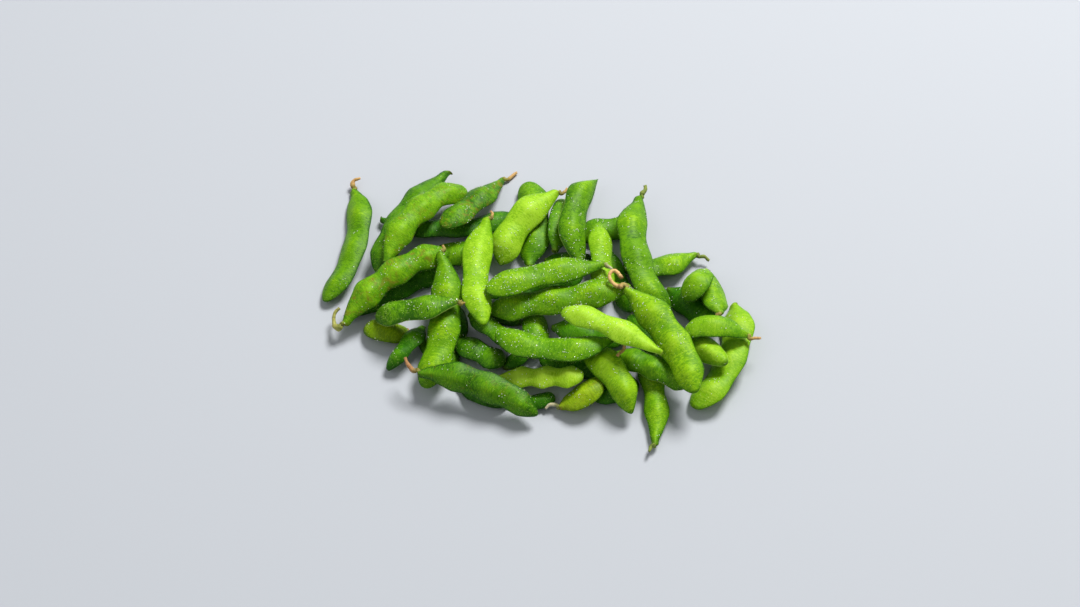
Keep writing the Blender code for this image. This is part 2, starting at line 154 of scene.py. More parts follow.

# How many waves of each noise fit in a metre.
BROAD_SCALE = 95.0
BLOTCH_SCALE = 260.0
PATCH_SCALE = 420.0
VEIN_SCALE = 620.0
BARK_SCALE = 700.0
DOWN_SCALE = 900.0
GRAIN_SCALE = 2300.0
SALT_SCALE = 2500.0

# A dried stalk's dark, middle and light tone.
STALKS = {
    "tan": ((0.210, 0.085, 0.020), (0.560, 0.330, 0.120), (0.720, 0.540, 0.280)),
    "green": ((0.090, 0.110, 0.018), (0.200, 0.260, 0.045), (0.350, 0.400, 0.110)),
    "pale": ((0.330, 0.240, 0.120), (0.640, 0.580, 0.420), (0.800, 0.770, 0.640)),
    "straw": ((0.150, 0.130, 0.020), (0.380, 0.380, 0.090), (0.620, 0.600, 0.230)),
    "rust": ((0.130, 0.050, 0.018), (0.390, 0.190, 0.075), (0.600, 0.370, 0.170)),
    "peach": ((0.300, 0.130, 0.035), (0.740, 0.470, 0.190), (0.900, 0.700, 0.400)),
}
# Stalks whose colour and thickness differ from their family's.
STALK_LOOK = {"stalk_38": ("straw", 1.0), "stalk_20": ("rust", 0.95), "stalk_22": ("peach", 1.15)}

# Pods that differ from their family: how far their beans stand out, how blotched they are,
# how brown the neck is and how pale the seams are, each 0 to 1; how much lighter or darker the
# skin is, partly its own green and partly painted light; how much of its width the last stretch
# before the beak loses; and its skin, if that isn't its family's.
Own = namedtuple(
    "Own", "beans blotch neck seam tone point skin", defaults=(0.3, 0.0, 0.35, 0.1, 0.0, 0.0, "")
)
OWN = {
    "pod_01": Own(0.0, 0.0, 0.3, 0.1, -0.12),
    "pod_03": Own(0.4, 0.15, 0.7, 0.1, -0.18),
    "pod_04": Own(1.0, 0.45, 0.2, 0.0, -0.20),
    "pod_05": Own(0.5, 0.60, 0.8, 0.2, -0.24, 0.0, "fresh"),
    "pod_06": Own(0.3, 0.0, 0.4, 0.1, 0.20),
    "pod_07": Own(0.3, 0.0, 0.4, 0.1, 0.14),
    "pod_08": Own(0.4, 0.0, 0.6, 0.1, 0.10, 0.30),
    "pod_09": Own(0.2, 0.1, 0.8, 0.1, 0.0),
    "pod_10": Own(0.1, 0.0, 0.6, 0.1, 0.18),
    "pod_12": Own(0.2, 0.05, 0.7, 0.7, -0.22),
    "pod_13": Own(0.4, 0.05, 0.5, 0.2, 0.0),
    "pod_14": Own(0.3, 0.0, 0.4, 0.8, -0.14, 0.88),
    "pod_18": Own(0.1, 0.0, 0.3, 0.1, -0.10),
    "pod_20": Own(0.1, 0.25, 0.3, 0.1, -0.13, 0.30),
    "pod_22": Own(0.2, 0.0, 0.6, 0.1, 0.14, 0.25),
    "pod_23": Own(0.8, 0.15, 0.3, 0.5, 0.0),
    "pod_24": Own(0.9, 0.0, 0.4, 0.4, 0.20),
    "pod_25": Own(0.2, 0.0, 0.6, 0.1, 0.05),
    "pod_26": Own(0.4, 0.0, 0.3, 0.1, -0.10),
    "pod_27": Own(1.0, 0.10, 0.3, 0.5, 0.52),
    "pod_28": Own(0.6, 0.40, 0.8, 0.1, 0.10),
    "pod_29": Own(0.3, 0.0, 0.3, 0.2, 0.20, 0.50),
    "pod_30": Own(0.7, 0.15, 0.6, 0.1, 0.06, 0.0, "fresh"),
    "pod_31": Own(0.3, 0.1, 0.3, 0.8, -0.02),
    # painted light: pod_32, pod_33, pod_34 and pod_36 are made lighter where their neighbours shade
    # them
    "pod_32": Own(0.2, 0.0, 0.3, 0.1, 0.36),
    "pod_33": Own(0.5, 0.0, 0.4, 0.1, 0.14),
    "pod_34": Own(0.5, 0.0, 0.3, 0.9, 0.40, 0.45),
    "pod_36": Own(0.7, 0.0, 0.5, 0.3, 0.16),
    "pod_38": Own(0.9, 0.60, 0.8, 0.1, 0.10, 0.0, "mid"),
    "pod_42": Own(0.3, 0.0, 0.3, 0.1, 0.10, 0.50),
    "pod_44": Own(0.4, 0.0, 0.3, 0.1, -0.22),
}

# Stalk ends too small for a CAD node: pod, colour, radius, points in mm from the pod's neck.
Stub = namedtuple("Stub", "name pod colour radius path")
STUBS = [
    Stub("stub_13", "pod_13", "pale", 0.55, [(1.2, -0.6, 0.3), (2.4, -1.6, 0.2)]),
    Stub("stub_30", "pod_30", "green", 0.55, [(-0.6, -1.6, 0.4), (-1.2, -3.4, 0.6)]),
    Stub("stub_10", "pod_10", "tan", 0.75, [(1.4, 0.9, 0.2), (2.6, 1.8, 0.3), (3.1, 2.9, 0.8)]),
    Stub("stub_08", "pod_08", "tan", 0.55, [(0.2, 1.4, 0.2), (0.6, 2.9, 0.2), (-0.4, 4.2, 0.4)]),
    Stub("stub_09", "pod_09", "tan", 0.60, [(-0.2, 1.3, 0.2), (-0.8, 2.4, 0.4)]),
    Stub("stub_12", "pod_12", "tan", 0.50, [(1.1, 0.5, 0.2), (2.2, 0.6, 0.3)]),
    Stub(
        "stub_45", "pod_45", "green", 0.50,
        [(-1.6, 0.2, 0.2), (-3.4, 0.4, 0.3), (-4.8, 1.2, 0.3), (-5.4, 2.4, 0.4)],
    ),
    Stub("stub_16", "pod_16", "tan", 0.50, [(0.6, 1.2, 0.5), (1.0, 2.2, 0.8)]),
    Stub("stub_35", "pod_35", "tan", 0.50, [(-0.3, -1.2, 0.2), (-0.7, -2.4, 0.1)]),
    Stub("stub_33", "pod_33", "tan", 0.60, [(2.4, 0.0, 0.0), (5.5, 0.3, -0.5)]),
    Stub("stub_19", "pod_19", "green", 0.70, [(2.9, 0.1, 0.0), (5.1, -1.6, -1.0)]),
    Stub("stub_28", "pod_28", "pale", 0.60, [(-4.0, 0.3, 0.0), (-5.6, -1.0, -1.0)]),
    Stub("stub_43", "pod_43", "tan", 0.60, [(-3.7, 1.7, 0.0), (-5.6, 3.6, 0.0), (-6.0, 5.5, 0.0)]),
    Stub("stub_05", "pod_05", "tan", 0.70, [(2.3, 2.1, -0.5), (4.2, 4.3, -0.5), (5.1, 5.2, -1.0)]),
]

# ---------------------------------------------------------------- camera and light
VIEW_DISTANCE = 0.827    # from the middle of the heap, in metres
VIEW_ELEVATION = 54.8    # degrees above the table
VIEW_TARGET = (0.0018, 0.0019)
LENS = 58.7
SENSOR = 36.0
Lamp = namedtuple("Lamp", "name place size energy colour")
LAMPS = [
    Lamp("key", (0.77, 1.20, 1.84), 0.92, 70.0, (1.0, 0.98, 0.87)),
    Lamp("fill", (-0.9, -0.5, 1.2), 1.2, 3.0, (1.0, 0.99, 0.92)),
]
SKY_COLOUR = (0.97, 0.98, 0.88, 1.0)
SKY_STRENGTH = 0.31

# ---------------------------------------------------------------- down and salt
DOWN_SEED = 11
DOWN_PER_POD = 760       # hairs on a pod whose skin has TYPICAL_SKIN square metres
TYPICAL_SKIN = 0.0019
HAIR_LENGTH = (0.55, 1.25)
HAIR_HALF = (0.028, 0.048)  # half its thickness, in mm
HAIR_ROOT = 0.04         # mm that a hair's foot lies below the skin
HAIR_FLOOR = 0.02        # mm above the table that every hair keeps
HAIR_FACES = ((0, 1, 2), (0, 3, 1), (1, 3, 2), (2, 3, 0))
SALT_SEED = 5
SALT_SPOTS = 950
SALT_NEAR_SHARE = 0.62   # of the spots lie close to the middle
SALT_NEAR = ((0.004, 0.036), (0.002, 0.026))  # middle and spread in x, then in y, in metres
SALT_FAR = ((0.010, 0.060), (0.0, 0.042))
SALT_SLOPE = 0.25        # grains stay only on skin that faces upwards by this much
SALT_CLUSTER = 3         # up to so many grains at one spot
SALT_SPREAD = 0.0011     # how far a spot's grains scatter, in metres
SALT_HALF = (0.08, 0.20)    # half the size of a grain, in mm
GRAIN_FACES = ((0, 2, 3, 1), (4, 5, 7, 6), (0, 1, 5, 4), (2, 6, 7, 3), (0, 4, 6, 2), (1, 3, 7, 5))


# ---------------------------------------------------------------- reading the CAD nodes
def welded(node):
    """A CAD node's distinct points, in mm, and the neighbours of each."""
    mesh = frame["nodes"][node].data
    points = np.array([vert.co for vert in mesh.vertices]) / MM
    keys = np.round(points * 1000.0).astype(np.int64)
    distinct, first, index = np.unique(keys, axis=0, return_index=True, return_inverse=True)
    index = index.ravel()
    near = [set() for _ in distinct]
    for edge in mesh.edges:
        start, end = (int(index[corner]) for corner in edge.vertices)
        if start != end:
            near[start].add(end)
            near[end].add(start)
    return points[first], near


def levels_from(seeds, near):
    """Point numbers grouped by how many edges they are away from the seeds."""
    distance = {seed: 0 for seed in seeds}
    queue = deque(seeds)
    while queue:
        here = queue.popleft()
        for other in sorted(near[here]):
            if other not in distance:
                distance[other] = distance[here] + 1
                queue.append(other)
    levels = [[] for _ in range(max(distance.values()) + 1)]
    for point, steps in distance.items():
        levels[steps].append(point)
    return levels


def unit(vector):
    return vector / max(np.linalg.norm(vector), 1e-12)


def run_along(line):
    """How far along the line each of its points lies."""
    return np.concatenate([[0.0], np.cumsum(np.linalg.norm(np.diff(line, axis=0), axis=1))])


class Spine:
    """A pod's sections in mm, neck first: middle, both axes, half width and half thickness."""

    def __init__(self, node):
        points, near = welded(node)
        poles = [i for i, others in enumerate(near) if len(others) == CAD_SEGMENTS]
        if len(poles) != 2:
            raise ValueError(f"{node} has {len(poles)} end points")
        spread = []
        for pole in poles:
            ring = points[sorted(near[pole])]
            reach = np.linalg.norm(ring - ring.mean(axis=0), axis=1)
            spread.append(reach.max() / reach.min())
        neck = poles[int(np.argmin(spread))]
        rings = levels_from([neck], near)
        middles = np.array([points[ring].mean(axis=0) for ring in rings])
        sizes = [np.ptp(points[ring], axis=0).max() for ring in rings]
        widest = int(np.argmax(sizes))
        count = len(rings)
        pairs = [None] * count
        for k in range(1, count - 1):
            along = unit(middles[k + 1] - middles[k - 1])
            side = unit(np.cross(along, AXIS_Z))
            other = np.cross(side, along)
            out = points[rings[k]] - middles[k]
            around = [math.atan2(step @ other, step @ side) for step in out]
            pairs[k] = [rings[k][i] for i in np.argsort(around)]
        half = CAD_SEGMENTS // 2
        quarter = CAD_SEGMENTS // 4
        self.middle = middles.copy()
        self.broad = np.zeros((count, 3))
        self.thin = np.zeros((count, 3))
        self.width = np.zeros(count)
        self.height = np.zeros(count)

        def measure(k, wanted):
            order = pairs[k]
            best = None
            for i in range(CAD_SEGMENTS):
                across = points[order[i]] - points[order[(i + half) % CAD_SEGMENTS]]
                score = np.linalg.norm(across) if wanted is None else unit(across) @ wanted
                if best is None or score > best[0]:
                    best = (score, i, across)
            i, across = best[1], best[2]
            top = points[order[(i + quarter) % CAD_SEGMENTS]]
            up = top - points[order[(i + half + quarter) % CAD_SEGMENTS]]
            along = unit(middles[k + 1] - middles[k - 1])
            if wanted is None and np.cross(along, across)[2] < 0.0:
                across = -across
            if np.cross(along, across) @ up < 0.0:
                up = -up
            self.middle[k] = 0.5 * (points[order[i]] + points[order[(i + half) % CAD_SEGMENTS]])
            self.broad[k] = unit(across)
            self.thin[k] = unit(up)
            self.width[k] = 0.5 * np.linalg.norm(across)
            self.height[k] = 0.5 * np.linalg.norm(up)

        measure(widest, None)
        for k in range(widest + 1, count - 1):
            measure(k, self.broad[k - 1])
        for k in range(widest - 1, 0, -1):
            measure(k, self.broad[k + 1])
        for end, inner in ((0, 1), (count - 1, count - 2)):
            self.broad[end] = self.broad[inner]
            self.thin[end] = self.thin[inner]
        self.at = run_along(self.middle)
        self.length = self.at[-1]
        ratio = self.height[1:-1] / np.maximum(self.width[1:-1], 1e-6) / CAD_FLATNESS
        span = SWELL_RATIOS[0] - SWELL_RATIOS[1] * ratio
        swell = np.clip((BARE_RATIO * ratio - BEAN_WAIST) / span, 0.0, 1.0)
        self.swell = np.concatenate([swell[:1], swell, swell[-1:]])
        self.neck = self.middle[0]
        self.outward = unit(self.middle[0] - self.middle[3])


def hermite(at, values, slopes, wanted):
    """A cubic curve through the values, with those slopes."""
    index = np.clip(np.searchsorted(at, wanted, side="right") - 1, 0, len(at) - 2)
    step = at[index + 1] - at[index]
    t = (wanted - at[index]) / step
    if values.ndim > 1:
        t = t[:, None]
        step = step[:, None]
    return (
        (1 + 2 * t) * (1 - t) ** 2 * values[index]
        + t * (1 - t) ** 2 * step * slopes[index]
        + t * t * (3 - 2 * t) * values[index + 1]
        + t * t * (t - 1) * step * slopes[index + 1]
    )


def smooth(at, values, wanted):
    """A smooth curve through the values."""
    return hermite(at, values, np.gradient(values, at, axis=0), wanted)


def tame(at, values, wanted):
    """A smooth curve through the values that never swings past them."""
    rise = np.diff(values) / np.diff(at)
    slopes = np.zeros_like(values)
    same = rise[:-1] * rise[1:] > 0.0
    total = np.where(same, rise[:-1] + rise[1:], 1.0)
    slopes[1:-1] = np.where(same, 2.0 * rise[:-1] * rise[1:] / total, 0.0)
    slopes[0], slopes[-1] = rise[0], rise[-1]
    return hermite(at, values, slopes, wanted)


# ---------------------------------------------------------------- building the pod skins
def waves(points, size, seed):
    """Smooth noise, about -1 to 1, at points in mm."""
    shift = Vector((seed * 3.17, seed * 1.71, seed * 0.53))
    return np.array([noise.noise(Vector(point) / size + shift) for point in points])


def skin_stations(length):
    """Distances along the pod, closer together at its two ends."""
    t = np.linspace(0.0, 1.0, SKIN_RINGS + 2)
    return length * ((1.0 - END_CROWDING) * t + END_CROWDING * (0.5 - 0.5 * np.cos(math.pi * t)))


def lathe_mesh(name, rows, first, last):
    """A closed skin through rows of points, with a point at each end, all in mm."""
    count, around = rows.shape[:2]
    points = np.concatenate([rows.reshape(-1, 3), [first], [last]])
    faces, uvs = [], []
    for k in range(count - 1):
        for j in range(around):
            a, b = k * around + j, k * around + (j + 1) % around
            faces.append((a, b, b + around, a + around))
            u0, u1 = j / around, (j + 1) / around
            v0, v1 = (k + 1) / (count + 1), (k + 2) / (count + 1)
            uvs.append(((u0, v0), (u1, v0), (u1, v1), (u0, v1)))
    start, end = count * around, count * around + 1
    for j in range(around):
        u0, u1 = j / around, (j + 1) / around
        faces.append((start, (j + 1) % around, j))
        uvs.append((((u0 + u1) / 2, 0.0), (u1, 1 / (count + 1)), (u0, 1 / (count + 1))))
        tail = (count - 1) * around
        faces.append((end, tail + j, tail + (j + 1) % around))
        uvs.append((((u0 + u1) / 2, 1.0), (u0, count / (count + 1)), (u1, count / (count + 1))))
    mesh = bpy.data.meshes.new(name)
    mesh.from_pydata((points * MM).tolist(), [], faces)
    layer = mesh.uv_layers.new(name=BAKE_MAP)
    flat = [part for face in uvs for corner in face for part in corner]
    layer.data.foreach_set("uv", np.array(flat, np.float32))
    mesh.shade_smooth()
    return mesh


def cell_map(mesh):
    """A bake map that gives each face a small square of its own, row by row."""
    side = math.ceil(math.sqrt(len(mesh.polygons)))
    corners = np.array([(0.1, 0.1), (0.9, 0.1), (0.9, 0.9), (0.1, 0.9)])
    places = []
    for face in mesh.polygons:
        square = np.array([face.index % side, face.index // side])
        places.append((square + corners[: len(face.vertices)]) / side)
    layer = mesh.uv_layers.new(name=BAKE_MAP)
    layer.data.foreach_set("uv", np.concatenate(places).astype(np.float32).ravel())


def outward_faces(mesh):
    """Turns the faces round if the closed mesh is inside out."""
    points = np.array([vert.co for vert in mesh.vertices])
    volume = 0.0
    for face in mesh.polygons:
        corners = points[list(face.vertices)]
        for b, c in zip(corners[1:], corners[2:]):
            volume += corners[0] @ np.cross(b, c)
    if volume < 0.0:
        mesh.flip_normals()


def vector_attribute(mesh, name, values):
    layer = mesh.attributes.new(name, "FLOAT_VECTOR", "POINT")
    layer.data.foreach_set("vector", np.asarray(values, np.float32).ravel())


def new_piece(name, mesh):
    made = bpy.data.objects.new(name, mesh)
    bpy.context.scene.collection.objects.link(made)
    return made


def pod_skin(node, number):
    """The finished pod for a CAD pod: bean domes, flat margins, seam ridges, wrinkles and beak."""
    spine = Spine(node)
    own = OWN.get(node, Own())
    at = skin_stations(spine.length)
    inner = at[1:-1]
    middle = smooth(spine.at, spine.middle, inner)
    broad = smooth(spine.at, spine.broad, inner)
    thin = smooth(spine.at, spine.thin, inner)
    width = np.sqrt(np.maximum(tame(spine.at, spine.width ** 2, inner), 1e-4))
    height = np.sqrt(np.maximum(tame(spine.at, spine.height ** 2, inner), 1e-4))
    swell = np.clip(tame(spine.at, spine.swell, inner), 0.0, 1.0)
    share = inner / spine.length
    body = np.clip(share / NECK_SHARE, 0.0, 1.0) * np.clip((1.0 - share) / BEAK_SHARE, 0.0, 1.0)

    turn = np.arange(SKIN_AROUND) / SKIN_AROUND * 2.0 * math.pi
    theta = turn - SEAM_CROWDING * np.sin(2.0 * turn)
    across = np.cos(theta)[None, :]
    up = np.sin(theta)[None, :]
    pinch = 1.0 - SEAM_PINCH * np.abs(across) ** 3
    low = BEAN_WAIST / (BEAN_WAIST + (1.0 - BEAN_WAIST) * swell)
    off = DOME_SHIFT * math.sin(number * 2.4)
    dome = np.exp(-(((across - off) / DOME_WIDTH) ** 2) * (1.0 + DOME_CREST * own.beans))
    dome = dome / dome.max()
    lift = low[:, None] + (1.0 - low[:, None]) * dome
    waist = own.beans * (1.0 - swell) * body
    lift = lift * (1.0 - WAIST_DROP * waist[:, None] * dome)
    width = width * (1.0 - WAIST_NARROWING * waist)
    nearness = np.clip(1.0 - (spine.length - inner) / POINT_REACH, 0.0, 1.0)
    width = width * (1.0 - own.point * nearness ** POINT_EASE)

    side = np.arcsin(np.clip(np.abs(np.sin(theta)), 0.0, 1.0))[None, :]
    girth = np.sqrt(0.5 * (width ** 2 + height ** 2))[:, None]
    from_seam = side * girth
    ridge = SEAM_RIDGE * np.exp(-((side / RIDGE_SPREAD) ** 2))
    ridge = ridge - SEAM_HOLLOW * np.exp(-(((side - HOLLOW_AT) / HOLLOW_SPREAD) ** 2))
    ridge = ridge * body[:, None]

    plain = (
        middle[:, None, :]
        + broad[:, None, :] * (width[:, None] * across)[:, :, None]
        + thin[:, None, :] * (height[:, None] * up * pinch)[:, :, None]
    )
    flat = plain.reshape(-1, 3)
    slow = waves(flat, SLOW_SIZE, number).reshape(plain.shape[:2])
    ripple = waves(flat, FINE_SIZE, number + 40).reshape(plain.shape[:2])
    small = np.minimum(girth / FULL_GIRTH, 1.0)
    bump = ridge + (SLOW_WAVES * (slow - SLOW_SINK) + FINE_WAVES * ripple) * small * body[:, None]

    wide = width[:, None] + bump * np.abs(across)
    tall = height[:, None] * lift + bump * np.abs(up)
    rows = (
        middle[:, None, :]
        + broad[:, None, :] * (wide * across)[:, :, None]
        + thin[:, None, :] * (tall * up * pinch)[:, :, None]
    )
    mesh = lathe_mesh(f"edamame_{node[-2:]}", rows, spine.middle[0], spine.middle[-1])
    outward_faces(mesh)
    along = np.repeat(inner, SKIN_AROUND)
    # where the beans bulge; the skin material paints a highlight there
    bean = (swell[:, None] * dome * body[:, None]).ravel()
    ends = np.concatenate([along, [0.0, spine.length]])
    bean = np.concatenate([bean, [0.0, 0.0]])
    seam = np.concatenate([np.broadcast_to(from_seam, rows.shape[:2]).ravel(), [0.0, 0.0]])
    vector_attribute(mesh, "skin", np.stack([ends, seam, bean], axis=1))
    neck = np.exp(-((ends / NECK_REACH) ** 2))
    beak = np.exp(-(((spine.length - ends) / BEAK_REACH) ** 2))
    vector_attribute(mesh, "ends", np.stack([neck, beak, 0.0 * neck], axis=1))
    return new_piece(mesh.name, mesh), spine, own


# ---------------------------------------------------------------- materials
class Nodes:
    """Short names for building a node tree."""

    def __init__(self, name):
        self.material = bpy.data.materials.new(name)
        self.material.use_nodes = True
        self.tree = self.material.node_tree
        self.shader = self.tree.nodes["Principled BSDF"]

    def add(self, kind, inputs=(), **settings):
        node = self.tree.nodes.new(kind)
        for key, value in settings.items():
            setattr(node, key, value)
        for key, value in dict(inputs).items():
            self.put(node.inputs[key], value)
        return node

    def put(self, socket, value):
        if isinstance(value, bpy.types.NodeSocket):
            self.tree.links.new(value, socket)
        else:
            socket.default_value = value

    def maths(self, operation, first, second=0.0, clamp=False):
        inputs = {0: first, 1: second}
        node = self.add("ShaderNodeMath", inputs, operation=operation, use_clamp=clamp)
        return node.outputs[0]

    def place(self):
        return self.add("ShaderNodeTexCoord").outputs["Object"]

    def read(self, name):
        """The three parts of a vector that the mesh carries at its points."""
        stored = self.add("ShaderNodeAttribute", attribute_name=name).outputs["Vector"]
        return self.add("ShaderNodeSeparateXYZ", {0: stored}).outputs

    def span(self, value, low, high, to_low=0.0, to_high=1.0, smooth_step=True):
        node = self.add(
            "ShaderNodeMapRange",
            {
                "Value": value,
                "From Min": low,
                "From Max": high,
                "To Min": to_low,
                "To Max": to_high,
            },
            interpolation_type="SMOOTHSTEP" if smooth_step else "LINEAR",
        )
        return node.outputs["Result"]

    def noise(self, where, scale, detail=2.0, rough=0.5, distortion=0.0):
        node = self.add(
            "ShaderNodeTexNoise",
            {
                "Vector": where,
                "Scale": scale,
                "Detail": detail,
                "Roughness": rough,
                "Distortion": distortion,
            },
        )
        return node.outputs["Fac"]

    def mix(self, share, first, second):
        node = self.add("ShaderNodeMix", {0: share}, data_type="RGBA", blend_type="MIX")
        for socket, value in ((node.inputs[6], first), (node.inputs[7], second)):
            if isinstance(value, tuple):
                value = (*value, 1.0)
            self.put(socket, value)
        return node.outputs[2]

    def ramp(self, share, stops):
        node = self.add("ShaderNodeValToRGB", {"Fac": share})
        ramp = node.color_ramp
        ramp.interpolation = "EASE"
        while len(ramp.elements) < len(stops):
            ramp.elements.new(0.5)
        for element, (place, colour) in zip(ramp.elements, stops):
            element.position = place
            element.color = (*colour, 1.0)
        return node.outputs["Color"]


def pod_material(node, family, own, number):
    """Downy green skin: painted highlight over the bean domes, painted shade towards the margins
    and in the creases of plain seams, pale sutures, blotches, browned neck and darker beak.
    """
    kit = Nodes(f"{node}_{family}_skin")
    skin = SKINS[family]
    where = kit.place()
    run, seam, bean = kit.read("skin")
    neck, beak, _ = kit.read("ends")

    broad = kit.noise(where, BROAD_SCALE, 2.0, 0.55, 0.3)
    patch = kit.noise(where, PATCH_SCALE, 3.0, 0.6, 0.4)
    grain = kit.noise(where, GRAIN_SCALE, 2.0, 0.7)
    slant = kit.maths("MULTIPLY_ADD", run, 0.35)
    kit.put(slant.node.inputs[2], kit.maths("MULTIPLY", seam, 0.45))
    strokes = kit.add("ShaderNodeCombineXYZ", {"X": run, "Y": slant, "Z": float(number)})
    down = kit.noise(strokes.outputs[0], 1.7, 2.0, 0.6, 0.5)
    # painted highlight over the bean domes
    tone = kit.maths("MULTIPLY_ADD", bean, BEAN_HIGHLIGHT)
    kit.put(tone.node.inputs[2], TONE_BASE + own.tone)
    tone = kit.maths("ADD", tone, kit.span(broad, 0.25, 0.75, -TONE_BROAD, TONE_BROAD, False))
    tone = kit.maths("ADD", tone, kit.span(patch, 0.25, 0.75, -TONE_PATCH, TONE_PATCH, False))
    tone = kit.maths("ADD", tone, kit.span(grain, 0.30, 0.70, -TONE_GRAIN, TONE_GRAIN, False))
    tone = kit.maths("ADD", tone, kit.span(down, 0.34, 0.66, -TONE_DOWN, TONE_DOWN, False))
    # painted shade: darker towards the seams, where the sides turn from the light
    tone = kit.maths("SUBTRACT", tone, kit.span(seam, 0.0, MARGIN_REACH, MARGIN_SHADE, 0.0), True)
    stops = [(0.0, skin.deep), (0.34, skin.mid), (0.66, skin.light), (1.0, skin.pale)]
    colour = kit.ramp(tone, stops)

    if own.blotch:
        spots = kit.noise(where, BLOTCH_SCALE, 4.0, 0.65, 1.2)
        wider = 0.10 * own.blotch
        mask = kit.span(spots, 0.56 - wider, 0.74 - wider, 0.0, own.blotch)
        colour = kit.mix(mask, colour, BLOTCH_COLOUR)
    rim = kit.span(seam, *RIM, 1.0, 0.0)
    if own.seam > PALE_FROM:
        pale = tuple(0.4 * a + 0.6 * b for a, b in zip(skin.pale, PALE_SEAM))
        colour = kit.mix(kit.maths("MULTIPLY", rim, 0.75 * own.seam), colour, pale)
    else:
        # painted shade: the crease along the seam is darkened
        dark = tuple(0.6 * part for part in skin.deep)
        colour = kit.mix(kit.maths("MULTIPLY", rim, 0.62), colour, dark)
    dried = kit.span(patch, 0.30, 0.62, 0.35 * own.neck, 1.1 * own.neck)
    colour = kit.mix(kit.maths("MULTIPLY", neck, dried, True), colour, NECK_COLOUR)
    tip = kit.maths("MULTIPLY", beak, kit.span(patch, 0.35, 0.60, 0.15, 0.75))
    colour = kit.mix(tip, colour, tuple(0.55 * part for part in skin.mid))
    kit.put(kit.shader.inputs["Base Color"], colour)

    kit.put(kit.shader.inputs["Roughness"], kit.span(patch, 0.25, 0.75, 0.36, 0.52, False))
    turned = kit.add("ShaderNodeMapping", {"Vector": where, "Rotation": (0.0, 0.0, number * 0.7)})
    veins = kit.add(
        "ShaderNodeTexVoronoi",
        {"Vector": turned.outputs[0], "Scale": VEIN_SCALE},
        feature="DISTANCE_TO_EDGE",
    ).outputs["Distance"]
    relief = kit.maths("ADD", kit.maths("MULTIPLY", grain, 0.40), kit.maths("MULTIPLY", patch, 0.6))
    relief = kit.maths("ADD", relief, kit.maths("MULTIPLY", down, 0.55))
    relief = kit.maths("ADD", relief, kit.span(veins, 0.0, 0.12, 0.0, 0.16))
    bump = kit.add("ShaderNodeBump", {"Strength": 0.55, "Distance": 0.00022, "Height": relief})
    kit.put(kit.shader.inputs["Normal"], bump.outputs["Normal"])

    kit.shader.inputs["Subsurface Weight"].default_value = 0.15
    kit.shader.inputs["Subsurface Radius"].default_value = (0.7, 1.0, 0.15)
    kit.shader.inputs["Subsurface Scale"].default_value = 0.0014
    kit.shader.inputs["Specular IOR Level"].default_value = 0.14
    kit.shader.inputs["Sheen Weight"].default_value = 0.03
    kit.shader.inputs["Sheen Roughness"].default_value = 0.45
    kit.shader.inputs["Sheen Tint"].default_value = (0.70, 0.95, 0.30, 1.0)
    return kit.material


def stalk_material(name, family, seed):
    """Dried stalk: fibres along it, darker at its joints and calyx."""
    kit = Nodes(name)
    dark, mid, light = STALKS[family]
    run, turn, clasped = kit.read("fibre")
    strands = kit.add("ShaderNodeCombineXYZ", {"X": kit.maths("MULTIPLY", run, 0.5), "Y": turn})
    fibre = kit.noise(strands.outputs[0], 3.2, 3.0, 0.6)
    patch = kit.noise(kit.place(), BARK_SCALE, 3.0, 0.6, 0.5)
    share = kit.maths("ADD", kit.maths("MULTIPLY", fibre, 0.6), kit.maths("MULTIPLY", patch, 0.4))
    colour = kit.ramp(share, [(0.28, dark), (0.50, mid), (0.72, light)])
    lengthwise = kit.add("ShaderNodeCombineXYZ", {"X": run, "Y": float(seed)})
    knots = kit.span(kit.noise(lengthwise.outputs[0], 0.42, 1.0), 0.58, 0.68, 0.0, 0.65)
    colour = kit.mix(knots, colour, tuple(0.45 * part for part in dark))
    foot = kit.span(run, 1.2, 4.6, 0.62, 0.0)
    colour = kit.mix(foot, colour, FOOT_COLOUR)
    calyx = kit.maths("MULTIPLY", clasped, kit.span(patch, 0.35, 0.65, 0.1, 0.8))
    colour = kit.mix(calyx, colour, tuple(0.5 * part for part in dark))
    kit.put(kit.shader.inputs["Base Color"], colour)
    kit.put(kit.shader.inputs["Roughness"], kit.span(patch, 0.3, 0.7, 0.6, 0.85, False))
    bump = kit.add("ShaderNodeBump", {"Strength": 0.7, "Distance": 0.0002, "Height": share})
    kit.put(kit.shader.inputs["Normal"], bump.outputs["Normal"])
    kit.shader.inputs["Subsurface Weight"].default_value = 0.08
    kit.shader.inputs["Subsurface Scale"].default_value = 0.0008
    return kit.material


# ---------------------------------------------------------------- stalks
def stalk_path(node, neck):
    """The middle line and radii of a CAD stalk, from its pod's neck on."""
    points, near = welded(node)
    distance = np.linalg.norm(points - neck, axis=1)
    seeds = [int(i) for i in np.argsort(distance)[:6]]
    levels = levels_from(seeds, near)
    line = np.array([points[level].mean(axis=0) for level in levels])
    out = [np.linalg.norm(points[level] - middle, axis=1) for level, middle in zip(levels, line)]
    return line, np.array([reach.mean() for reach in out])


